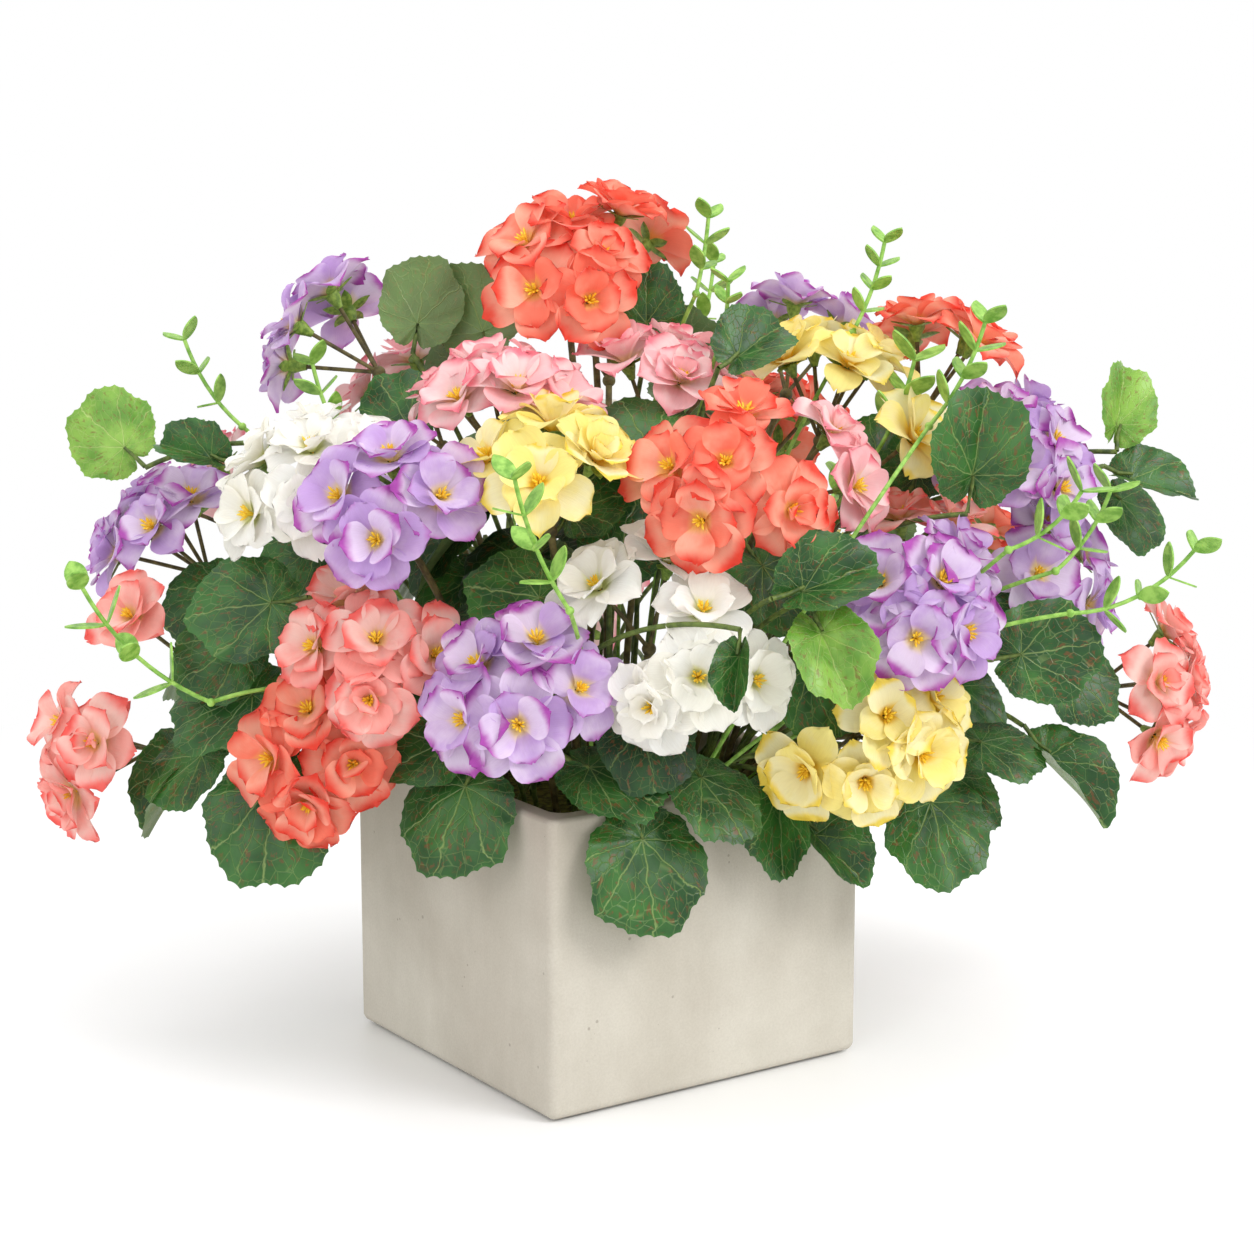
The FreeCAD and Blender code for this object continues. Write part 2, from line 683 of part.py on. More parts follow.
def petals(spray):
    """The outer and the inner petal whorl of each floret, as plain closed solids."""
    solids = []
    for way in floret_directions(spray):
        base = planned(spray.hub) + way * (PEDICEL_LENGTH + CALYX_HEIGHT)
        cup = base + way * OUTER_PETAL_HEIGHT
        solids += [
            Part.makeCone(CALYX_RADIUS, OUTER_PETAL_RADIUS, OUTER_PETAL_HEIGHT, base, way),
            Part.makeCone(INNER_PETAL_BASE_RADIUS, INNER_PETAL_RADIUS, INNER_PETAL_HEIGHT, cup, way),
        ]
    return solids


def pegs(spray):
    """The green calyx behind each floret and the stamen head in front of it."""
    solids = []
    for way in floret_directions(spray):
        base = planned(spray.hub) + way * PEDICEL_LENGTH
        tip = base + way * (CALYX_HEIGHT + OUTER_PETAL_HEIGHT + INNER_PETAL_HEIGHT)
        solids += [
            Part.makeCone(CALYX_BASE_RADIUS, CALYX_RADIUS, CALYX_HEIGHT, base, way),
            Part.makeCylinder(STAMEN_RADIUS, STAMEN_HEIGHT, tip, way),
        ]
    return solids


# --------------------------------------------------------------- leaves and sprigs


def blade(centre, out, tip_way, length, width, thickness):
    """A thin flat leaf between two arcs that meet at its base and its tip."""
    side = out.cross(tip_way) * (width / 2)
    back = centre - out * (thickness / 2)
    base, tip = back - tip_way * (length / 2), back + tip_way * (length / 2)
    edges = [
        Part.Arc(base, back + side, tip).toShape(),
        Part.Arc(tip, back - side, base).toShape(),
    ]
    return Part.Face(Part.Wire(edges)).extrude(out * thickness)


def leaf_axes(leaf):
    """The way a leaf's upper face looks and the way its tip points."""
    out, across, up = face_frame(leaf.faces)
    turn = math.radians(leaf.turn)
    return out, up * math.cos(turn) + across * math.sin(turn)


def leaf_base(leaf):
    """Where a settled leaf's stalk ends, just short of the blade's edge."""
    tip_way = leaf_axes(leaf)[1]
    return leaf.centre - tip_way * (leaf.length / 2 + LEAF_STALK_RADIUS + LEAF_STALK_GAP)


def leaf_blade(leaf):
    """The blade of one settled leaf."""
    out, tip_way = leaf_axes(leaf)
    return blade(leaf.centre, out, tip_way, leaf.length, leaf.width, LEAF_THICKNESS)


def leaf_stalk(wire):
    """A leaf's wired stalk, from the foam over the rim to the blade."""
    return tube(wire.curve, wire.radius).fuse(pin_in_foam(wire)).Solids[0]


def settle_leaf(room, owner, leaf, taken):
    """A leaf and its stalk, nudged until both are clear, or None."""
    out, tip_way = leaf_axes(leaf)
    long_half, wide_half = tip_way * (leaf.length / 2), out.cross(tip_way) * (leaf.width / 2)
    for nudge in NUDGES:
        moved = leaf._replace(centre=planned(leaf.centre) + nudge)
        balls = list(balls_over(moved.centre, long_half, wide_half, LEAF_THICKNESS))
        if room.is_clear(owner, balls):
            wire = settle_wire(
                room, owner, leaf_base(moved), LEAF_STALK_RADIUS, LEAF_STALK_RISE, taken, tip_way
            )
            if wire:
                room.take(owner, balls)
                return moved, wire
    return None


def leaflets(plan, curve):
    """The crossed pairs of small leaflets along a sprig."""
    rise = math.radians(SPRIG_LEAFLET_RISE)
    for pair in range(plan.pairs):
        along = curve.tangent(curve.LastParameter * (pair + 1) / plan.pairs)[0]
        node = curve.value(curve.LastParameter * (pair + 1) / plan.pairs)
        level = along.cross(UP).normalize()
        sideways = level if pair % 2 else along.cross(level)
        for way in (sideways, sideways * -1):
            tip_way = along * math.sin(rise) + way * math.cos(rise)
            out = along * math.cos(rise) - way * math.sin(rise)
            yield node + tip_way * (plan.leaflet / 2), out, tip_way


def settle_sprig(room, plan, taken):
    """A sprig's leafy arc and the wire that holds it, nudged until both are clear, or None."""
    width = plan.leaflet * SPRIG_LEAFLET_WIDTH_SHARE
    for nudge in NUDGES:
        start = planned(plan.start) + nudge
        curve = arch(start, planned(plan.tip) + nudge, SPRIG_BOW, 180)
        balls = list(balls_along(curve, SPRIG_STEM_RADIUS))
        for middle, out, tip_way in leaflets(plan, curve):
            side = out.cross(tip_way) * (width / 2)
            balls.extend(balls_over(middle, tip_way * (plan.leaflet / 2), side, LEAF_THICKNESS))
        if room.is_clear(plan.start, balls):
            wire = settle_wire(room, plan.start, start, SPRIG_STEM_RADIUS, STEM_RISE, taken)
            if wire:
                room.take(plan.start, balls)
                return curve, wire
    return None


def sprig(plan, curve, wire):
    """One boxwood sprig on its wire: a leafy stem moulded in one piece with its knuckle."""
    width = plan.leaflet * SPRIG_LEAFLET_WIDTH_SHARE
    branches = [tube(wire.curve, wire.radius), pin_in_foam(wire), tube(curve, SPRIG_STEM_RADIUS)]
    for middle, out, tip_way in leaflets(plan, curve):
        branches.append(
            blade(middle, out, tip_way, plan.leaflet, width, SPRIG_LEAFLET_THICKNESS)
        )
    return joined(knuckle(SPRIG_KNUCKLE_RADIUS, curve.value(0)), branches)


# ----------------------------------------------------------------- the arrangement


def undergrowth():
    """The planned leaves of the rings inside the mound."""
    for ring, (reach, height, elevation, count) in enumerate(UNDERGROWTH):
        for place in range(count):
            bearing = 360 * (place + ring / 2) / count
            spot = heading(bearing, 0) * reach
            yield Leaf((spot.x, spot.y, height), (bearing, elevation), 180, *UNDERGROWTH_LEAF)


def arrange():
    """Settle every spray, leaf and sprig: their wires, and the leaves as they end up."""
    room, taken = Room(), []
    stems, leaves, sprigs = {}, {}, {}
    for spray in SPRAYS:
        if spray.name not in BENDING_SPRAYS:
            room.take(spray.name, spray_balls(spray))
    for spray in sorted(SPRAYS, key=lambda s: s.name not in BENDING_SPRAYS):
        wire = settle_wire(room, spray.name, planned(spray.hub), STEM_RADIUS, STEM_RISE, taken)
        if wire is None:
            raise ValueError(f"{spray.name}: no way through for its stem")
        stems[spray.name] = wire
        if spray.name in BENDING_SPRAYS:
            take_swing(room, spray, wire)
    for plan in SPRIGS:
        sprigs[plan] = settle_sprig(room, plan, taken)
        if sprigs[plan] is None:
            print(f"left out: sprig towards {plan.tip}")
    groups = {**LEAVES, "inner": tuple(undergrowth())}
    for group, members in groups.items():
        leaves[group] = []
        for leaf in members:
            settled = settle_leaf(room, (group, leaf.centre), leaf, taken)
            if settled:
                leaves[group].append(settled)
            elif group != "inner":
                print(f"left out: {group} leaf at {leaf.centre}")
    return stems, leaves, {plan: settled for plan, settled in sprigs.items() if settled}


def petal_node(spray):
    """The node that holds a spray's petals: its own, or its colour's on the far side."""
    return f"{spray.colour}_back_petals" if "back" in spray.name else f"{spray.name}_petals"


def write(node, solids):
    """Write one node's STEP file, once each of its solids is sound."""
    if not all(is_sound(solid, 0) for solid in solids):
        raise ValueError(f"{node}: a solid is not sound")
    shape = solids[0] if len(solids) == 1 else Part.makeCompound(solids)
    shape.exportStep(f"parts/{node}.step")


def build(stems, leaves, sprigs):
    """Make every node."""
    stalks = [wire for group in leaves.values() for leaf, wire in group]
    wires = [*stems.values(), *stalks, *(wire for curve, wire in sprigs.values())]
    foam = rounded_block(FOAM_SIDE, FOAM_HEIGHT, FLOOR_Z, CAVITY_CORNER_RADIUS)
    moss = rounded_block(FOAM_SIDE, MOSS_THICKNESS, FOAM_TOP_Z, CAVITY_CORNER_RADIUS)
    nodes = {
        "planter_box": [planter_box()],
        "base_pad": [base_pad()],
        "foam_block": [drilled(foam, wires)],
        "moss_cover": [drilled(moss, wires)],
        "leaf_stalks": [leaf_stalk(wire) for wire in stalks],
        "boxwood_sprigs": [sprig(plan, *settled) for plan, settled in sprigs.items()],
    }
    for group, members in leaves.items():
        nodes[f"begonia_leaves_{group}"] = [leaf_blade(leaf) for leaf, wire in members]
    for spray in SPRAYS:
        wire = stems[spray.name]
        nodes.setdefault(petal_node(spray), []).extend(petals(spray))
        stems_node = nodes.setdefault(f"{spray.colour}_stems", [])
        if spray.name in BENDING_SPRAYS:
            stems_node.append(lower_stem(spray, wire))
            nodes[f"{spray.name}_stem"] = [upper_stem(spray, wire)]
            nodes[f"{spray.name}_pegs"] = pegs(spray)
        else:
            stems_node.append(whole_stem(spray, wire))
            nodes.setdefault(f"{spray.colour}_pegs", []).extend(pegs(spray))
    for node, solids in nodes.items():
        write(node, solids)
    print(len(nodes), "nodes,", sum(len(solids) for solids in nodes.values()), "solids")


STEMS, SETTLED_LEAVES, SETTLED_SPRIGS = arrange()
os.makedirs("parts", exist_ok=True)
build(STEMS, SETTLED_LEAVES, SETTLED_SPRIGS)
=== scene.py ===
import math
from collections import namedtuple

import bpy
import numpy as np
from mathutils import Matrix, Vector
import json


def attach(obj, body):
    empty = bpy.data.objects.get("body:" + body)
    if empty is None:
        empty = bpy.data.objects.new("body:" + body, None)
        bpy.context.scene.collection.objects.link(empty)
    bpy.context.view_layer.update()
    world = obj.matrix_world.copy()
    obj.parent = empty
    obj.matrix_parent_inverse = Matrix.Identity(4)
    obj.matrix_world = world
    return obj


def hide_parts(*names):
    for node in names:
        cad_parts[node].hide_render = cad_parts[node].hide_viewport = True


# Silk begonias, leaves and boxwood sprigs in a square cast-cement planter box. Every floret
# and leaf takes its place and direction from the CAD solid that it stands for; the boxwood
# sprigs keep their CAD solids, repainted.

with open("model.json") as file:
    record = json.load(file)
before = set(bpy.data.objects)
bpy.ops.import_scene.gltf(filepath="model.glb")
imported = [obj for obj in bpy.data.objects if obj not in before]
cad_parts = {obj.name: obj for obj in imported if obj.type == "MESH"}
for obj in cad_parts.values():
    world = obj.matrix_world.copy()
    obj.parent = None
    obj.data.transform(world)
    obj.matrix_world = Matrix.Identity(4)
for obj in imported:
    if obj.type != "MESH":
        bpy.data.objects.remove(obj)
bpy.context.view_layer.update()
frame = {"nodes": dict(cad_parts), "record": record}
NODES = frame["nodes"]
RECORD = frame["record"]
BODY_OF = {n: body for body, names in RECORD["behaviour"]["bodies"].items() for n in names}
MM = 0.001
UP = Vector((0, 0, 1))

# What tells the CAD's solids apart: the reach of an outer petal cone from its middle, the face
# area of a leaf blade, and how far a stalk's wire goes down into the foam below its bend.
OUTER_CONE_REACH = 11.5 * MM
BLADE_AREA = 1e-4
MOUND_HEART = Vector((0, 0, 0.12))
STALK_WIRE = 58 * MM
STALK_TIP = 1.2 * MM
FLAT_TURNS = 200
FLAT_OFFSETS = 5000

# Silk florets, in mm and radians: a whorl's petal count, petal length and half width, the rise
# of the petal at its foot and how far it bends back, its cup, ruffle, height up the floret, and
# the tone that marks its whorl.
Whorl = namedtuple("Whorl", "members length half_width tilt recurve cup ruffle lift kind")
THIRD_WHORL_SHARE = 0.3
WHORL_TWIST = 1.3
STAMENS = 9
STAMEN_HEIGHT = 6.5 * MM
SEPALS = 5
CALYX_LENGTH = 7 * MM

# Leaves: points from the stalk outwards and round the rim, for those seen and those deep inside.
LEAF_GRID = (14, 169)
INNER_LEAF_GRID = (8, 85)
LEAF_INSET = 0.46
TEETH_START = 0.86

# The three back-lit leaves, by the middles of their blades, and how near counts; they take a lighter
# lime copy of the leaf look, which is painted light.
LIME_SPOTS = ((-0.165, 0.135, 0.270), (0.008, -0.146, 0.200), (0.200, -0.110, 0.282))
LIME_REACH = 0.014
SALMON_HEADS = ("pink_left_single", "pink_far_left", "pink_front_left", "pink_far_right", "pink_right")

# The camera, in degrees, metres and mm: it stands off the object's origin, shifted in its plane.
CAMERA_BEARING = 235.635
CAMERA_ELEVATION = 11.2215
CAMERA_DISTANCE = 1.3095
CAMERA_SHIFT = (0.01003, 0.18342)
CAMERA_LENS = 83.87
CAMERA_SENSOR = 36.0

# The white floor: its side, and where round the box it starts and ends fading into the backdrop.
FLOOR_SIDE = 12
FADE_START = 0.22
FADE_END = 0.72

# ---------------------------------------------------------------------- reading the CAD


def triangles(node):
    """A CAD node's triangles, as corner positions in metres."""
    mesh = NODES[node].data
    mesh.calc_loop_triangles()
    points = np.empty(len(mesh.vertices) * 3)
    mesh.vertices.foreach_get("co", points)
    corners = np.empty(len(mesh.loop_triangles) * 3, dtype=np.int32)
    mesh.loop_triangles.foreach_get("vertices", corners)
    return points.reshape(-1, 3)[corners.reshape(-1, 3)]


def islands(node):
    """The points of each separate solid in a CAD node."""
    tris = triangles(node)
    keys, corners = np.unique(np.round(tris.reshape(-1, 3), 6), axis=0, return_inverse=True)
    corners = corners.reshape(-1, 3)
    label = np.arange(len(keys))
    while True:
        low = label[corners].min(axis=1)
        before = label.copy()
        for column in range(3):
            np.minimum.at(label, corners[:, column], low)
        label = label[label]
        if (label == before).all():
            break
    return [keys[label == root] for root in np.unique(label)]


def flats(node, least_area):
    """Each large flat face in a CAD node: its middle, its normal and its points."""
    tris = triangles(node)
    cross = np.cross(tris[:, 1] - tris[:, 0], tris[:, 2] - tris[:, 0])
    area = np.linalg.norm(cross, axis=1) / 2
    big = area > 1e-9
    tris, cross, area = tris[big], cross[big], area[big]
    normal = cross / (2 * area[:, None])
    offset = (normal * tris[:, 0]).sum(axis=1)
    key = np.round(np.column_stack([normal * FLAT_TURNS, offset * FLAT_OFFSETS])).astype(int)
    groups = {}
    for index, name in enumerate(map(tuple, key)):
        groups.setdefault(name, []).append(index)
    found = []
    for members in groups.values():
        if area[members].sum() < least_area:
            continue
        points = np.unique(np.round(tris[members].reshape(-1, 3), 6), axis=0)
        middle = (tris[members].mean(axis=1) * area[members][:, None]).sum(axis=0)
        found.append((middle / area[members].sum(), normal[members[0]], points))
    return found


def florets_of(node):
    """The (base, axis) of each floret in a petal node, from its outer and inner cone."""
    outer, inner = [], []
    for points in islands(node):
        middle = points.mean(axis=0)
        reach = np.linalg.norm(points - middle, axis=1).max()
        (outer if reach > OUTER_CONE_REACH else inner).append((middle, points))
    found = []
    for middle, points in outer:
        cup = min(inner, key=lambda other: np.linalg.norm(other[0] - middle))[0]
        axis = (cup - middle) / np.linalg.norm(cup - middle)
        base = middle + axis * ((points - middle) @ axis).min()
        found.append((Vector(base), Vector(axis)))
    return found


# -------------------------------------------------------------------------- mesh making


class Sheaf:
    """Grids of points gathered into one mesh, each point with a colour attribute."""

    def __init__(self):
        self.points, self.faces, self.colours, self.slots = [], [], [], []
        self.count = 0

    def grid(self, points, colours, wrap=False, material=0):
        """Add a grid of (rows, columns, 3) points; wrap joins the last column to the first."""
        rows, columns = points.shape[:2]
        index = np.arange(rows * columns).reshape(rows, columns) + self.count
        right = np.roll(index, -1, axis=1) if wrap else index[:, 1:]
        left = index if wrap else index[:, :-1]
        quads = np.stack([left[:-1], right[:-1], right[1:], left[1:]], axis=-1).reshape(-1, 4)
        self.points.append(points.reshape(-1, 3))
        self.colours.append(colours.reshape(-1, 4))
        self.faces.append(quads)
        self.slots.append(np.full(len(quads), material))
        self.count += rows * columns

    def build(self, name, materials):
        """The smooth-shaded object."""
        mesh = bpy.data.meshes.new(name)
        points, faces = np.concatenate(self.points), np.concatenate(self.faces)
        mesh.from_pydata(points.tolist(), [], faces.tolist())
        layer = mesh.attributes.new("tone", "FLOAT_COLOR", "POINT")
        layer.data.foreach_set("color", np.concatenate(self.colours).astype(np.float32).ravel())
        mesh.polygons.foreach_set("use_smooth", np.ones(len(mesh.polygons), dtype=bool))
        mesh.polygons.foreach_set("material_index", np.concatenate(self.slots).astype(np.int32))
        for material in materials:
            mesh.materials.append(material)
        mesh.update()
        piece = bpy.data.objects.new(name, mesh)
        bpy.context.scene.collection.objects.link(piece)
        return piece


def placed(points, origin, x_way, y_way, z_way):
    """Local points turned into a frame and moved to its origin."""
    basis = np.array([x_way, y_way, z_way], dtype=float)
    return points @ basis + np.array(origin, dtype=float)


def side_frame(axis, turn):
    """Two directions square to an axis, turned about it by an angle."""
    first = axis.cross(UP if abs(axis.z) < 0.95 else Vector((1, 0, 0))).normalized()
    second = axis.cross(first)
    return (
        first * math.cos(turn) + second * math.sin(turn),
        second * math.cos(turn) - first * math.sin(turn),
    )


def tone(shape, a=0.0, b=0.0, c=0.0, d=0.0):
    """A grid of attribute values from four arrays or numbers."""
    layers = [np.broadcast_to(value, shape).astype(float) for value in (a, b, c, d)]
    return np.stack(layers, axis=-1)


def tube_between(sheaf, points, radii, shade, material=0, sides=7):
    """A thin tube through points."""
    rings = []
    for place, point in enumerate(points):
        ahead = points[min(place + 1, len(points) - 1)] - points[max(place - 1, 0)]
        first, second = side_frame(ahead.normalized(), 0)
        angles = np.arange(sides) * 2 * math.pi / sides
        ring = np.outer(np.cos(angles), first) + np.outer(np.sin(angles), second)
        rings.append(ring * radii[place] + np.array(point))
    grid = np.array(rings)
    sheaf.grid(grid, tone(grid.shape[:2], *shade), wrap=True, material=material)


# ------------------------------------------------------------------------ petal shapes


def petal_points(rng, length, half_width, tilt, recurve, cup, ruffle, rows=10, columns=11):
    """A spoon-shaped petal that starts at the origin, runs along X and rises along Z."""
    share = np.linspace(0.0, 1.0, rows)[:, None] ** 0.8
    side = np.linspace(-1.0, 1.0, columns)[None, :]
    phase = rng.uniform(0, 2 * math.pi, 3)
    claw = np.clip(share / 0.55, 0, 1)
    breadth = 0.24 + 0.76 * claw * claw * (3 - 2 * claw)
    tip = np.clip((share - 0.6) / 0.4, 0, 1)
    breadth = breadth * np.sqrt(1 - 0.96 * tip**2.4)
    across = half_width * breadth * side
    notch = rng.uniform(0.0, 0.07) * np.exp(-((side / 0.22) ** 2)) * tip
    blunt = 0.10 * side**2 * tip
    along = length * share * (1 - notch - blunt + 0.018 * np.sin(5 * side + phase[0]) * tip)
    angle = tilt - recurve * share**1.6
    step = np.diff(along, axis=0, prepend=0)
    out = np.cumsum(step * np.cos(angle), axis=0)
    height = np.cumsum(step * np.sin(angle), axis=0)
    bowl = cup * half_width * side**2 * breadth
    out = out - bowl * np.sin(angle) * 0.6
    height = height + bowl * np.cos(angle * 0.6)
    height = height + ruffle * length * share**2 * np.sin(3.2 * side + phase[2])
    height = height + 0.5 * ruffle * length * tip * np.sin(7.5 * side + phase[1])
    return np.stack([out, across, height], axis=-1), share, side


def add_floret(sheaf, rng, base, axis, size, openness):
    """One double floret: a broad outer whorl and a cupped inner whorl."""
    outer, inner = rng.choice((5, 6)), rng.choice((4, 5))
    start = rng.uniform(0, 2 * math.pi)
    opened = 0.25 * openness
    whorls = [
        Whorl(outer, 22.5, 9.6, 0.62 - opened, 0.95, 0.34, 0.03, 0.0, 0.0),
        Whorl(inner, 16.5, 8.0, 1.02 - opened, 0.85, 0.42, 0.035, 1.6, 0.5),
    ]
    if rng.random() < THIRD_WHORL_SHARE:
        whorls.append(Whorl(3, 11.0, 6.0, 1.3, 0.5, 0.5, 0.04, 2.6, 1.0))
    for whorl in whorls:
        for member in range(whorl.members):
            even = start + whorl.kind * WHORL_TWIST + 2 * math.pi * member / whorl.members
            turn = even + rng.uniform(-0.12, 0.12)
            shape, share, side = petal_points(
                rng,
                length=size * whorl.length * rng.uniform(0.9, 1.08),
                half_width=size * whorl.half_width * rng.uniform(0.9, 1.1),
                tilt=whorl.tilt * rng.uniform(0.8, 1.2),
                recurve=whorl.recurve * rng.uniform(0.5, 1.4),
                cup=whorl.cup * rng.uniform(0.6, 1.3),
                ruffle=whorl.ruffle * rng.uniform(0.5, 1.5),
            )
            overlap = 0.9 * (member % 2)
            shape[..., 2] += whorl.lift + overlap + overlap * share
            shape[..., 0] += 1.0
            first, second = side_frame(axis, turn)
            points = placed(shape * MM, base, first, second, axis)
            shades = tone(points.shape[:2], share, np.abs(side), rng.random(), whorl.kind)
            sheaf.grid(points, shades)


def add_stamens(sheaf, rng, base, axis):
    """The yellow star of stamens in the middle of a floret."""
    height = STAMEN_HEIGHT
    radii = [0.35 * MM, 0.3 * MM, 0.6 * MM, 0.1 * MM]
    for member in range(STAMENS):
        turn = 2 * math.pi * member / STAMENS + rng.uniform(-0.2, 0.2)
        first, _ = side_frame(axis, turn)
        lean = rng.uniform(0.25, 0.6)
        top = base + axis * (height * rng.uniform(0.85, 1.15))
        tip = top + first * (height * lean * 0.75)
        bend = base + axis * (height * 0.6) + first * (height * lean * 0.25)
        end = tip + (tip - bend).normalized() * (1.3 * MM)
        tube_between(sheaf, [base, bend, tip, end], radii, (rng.random(), 0, 0, 0), 0, 5)


def add_calyx(sheaf, rng, base, axis):
    """The green receptacle behind a floret, with its five pointed sepals."""
    foot = base - axis * CALYX_LENGTH
    levels = [foot, foot + axis * (2.5 * MM), foot + axis * (5 * MM), base + axis * (0.6 * MM)]
    tube_between(sheaf, levels, [1.5 * MM, 2.2 * MM, 3.2 * MM, 3.7 * MM], (0.2, 0, 0, 0), 1, 10)
    start = rng.uniform(0, 2 * math.pi)
    share = np.linspace(0, 1, 6)[:, None]
    side = np.linspace(-1, 1, 5)[None, :]
    for member in range(SEPALS):
        first, second = side_frame(axis, start + 2 * math.pi * member / SEPALS)
        out = (2.2 + 9.5 * share) * np.ones_like(side)
        across = side * 2.6 * np.sin((0.18 + 0.82 * share) * math.pi) ** 0.8
        height = -0.4 + 2.2 * share + 0.5 * side**2
        shape = np.stack([out, across, height * np.ones_like(out)], axis=-1)
        points = placed(shape * MM, base, first, second, axis)
        shades = tone(points.shape[:2], 0.3 + 0.5 * share, 0, rng.random(), 0)
        sheaf.grid(points, shades, material=1)


# ------------------------------------------------------------------------ leaf shapes


def add_leaf(sheaf, rng, blade, grid):
    """A kidney-round, finely scalloped begonia leaf that covers its CAD blade."""
    middle, normal, tip_way, length, width, stalk_end = blade
    rings, spokes = grid
    radius = length / 2
    inset = LEAF_INSET * radius
    fold = math.acos(min(1.0, width / length * 1.04)) if width < 0.82 * length else 0.0
    narrow = 1.0 if fold else width / length
    angle = np.linspace(-math.pi, math.pi, spokes)[None, :]
    share = (np.linspace(0.0, 1.0, rings)[:, None]) ** 0.9
    phase = rng.uniform(0, 2 * math.pi, 4)
    rim = inset * np.cos(angle) + np.sqrt(radius**2 - (inset * np.sin(angle)) ** 2)
    notch = np.clip((math.pi - np.abs(angle)) / 0.42, 0, 1)
    rim = rim * (0.16 + 0.84 * notch**0.55)
    lobes = 1 + 0.035 * np.sin(7 * angle + phase[0]) + 0.02 * np.sin(12 * angle + phase[1])
    teeth = 1 - 0.035 * np.abs(np.sin(21 * angle + phase[2])) ** 0.7
    bite = (share - TEETH_START) / (1 - TEETH_START)
    rim = rim * np.where(share > TEETH_START, 1 + (teeth - 1) * bite, 1) * lobes
    reach = rim * share
    x, y = reach * np.sin(angle) * narrow, reach * np.cos(angle) - inset
    far = np.sqrt(x**2 + y**2) / radius
    dome = rng.uniform(0.05, 0.15)
    z = -dome * radius * far**2
    z = z + 0.05 * radius * far**2 * np.sin(3 * angle + phase[3])
    z = z + 0.022 * radius * share**2 * np.sin(11 * angle + phase[0])
    z = z - 0.03 * radius * np.exp(-((far / 0.35) ** 2))
    droop = rng.uniform(0.02, 0.14)
    z = z - droop * radius * np.clip((y + inset) / (2 * radius), 0, 1) ** 2
    if fold:
        flat = np.abs(x)
        x, z = x * math.cos(fold), z + flat * math.sin(fold) * 0.9
        z = z - 0.25 * radius * math.sin(fold)
    shape = np.stack([x, y, z], axis=-1)
    across = tip_way.cross(normal)
    points = placed(shape, middle, across, tip_way, normal)
    printed_x = share * np.sin(angle) * 0.5 + 0.5
    printed_y = share * np.cos(angle) * 0.5 + 0.5
    sheaf.grid(points, tone(reach.shape, printed_x, printed_y, rng.random(), share))
    heart = Vector(placed(np.array([0, -inset, -0.02 * radius]), middle, across, tip_way, normal))
    bow = stalk_end.lerp(heart, 0.55) - normal * (1.6 * MM)
    radii = [1.1 * MM, 1.0 * MM, 0.7 * MM]
    tube_between(sheaf, [stalk_end, bow, heart], radii, (0.4, 0, 0, 0), 1)


def leaf_frames(node, stalk_ends):
    """Middle, upper normal, tip direction, length, width and stalk end of each CAD blade."""
    seen = []
    for middle, normal, points in flats(node, BLADE_AREA):
        if Vector(normal).dot(Vector(middle) - MOUND_HEART) < 0:
            continue
        centre = Vector(middle)
        half = np.linalg.norm(points - middle, axis=1).max()
        gaps = np.linalg.norm(stalk_ends - middle, axis=1)
        near = int(np.argmin(np.abs(gaps - (half + 2 * MM))))
        end = Vector(stalk_ends[near])
        tip_way = centre - end
        upper = Vector(normal)
        tip_way = (tip_way - upper * tip_way.dot(upper)).normalized()
        across = np.array(tip_way.cross(upper))
        width = 2 * np.abs((points - middle) @ across).max()
        seen.append((centre, upper, tip_way, 2 * half, width, end))
    return seen


def stalk_ends_of(node):
    """The leaf end of each stalk: the point of its solid that is farthest from its foot."""
    ends = []
    for points in islands(node):
        foot = points[points[:, 2].argmin()]
        top = points[:, 2].min() + STALK_WIRE
        outer = points[points[:, 2] > top - 4 * MM]
        gaps = np.linalg.norm(outer - (foot + np.array([0, 0, STALK_WIRE])), axis=1)
        ends.append(outer[gaps > gaps.max() - STALK_TIP].mean(axis=0))
    return np.array(ends)


# --------------------------------------------------------------------------- materials


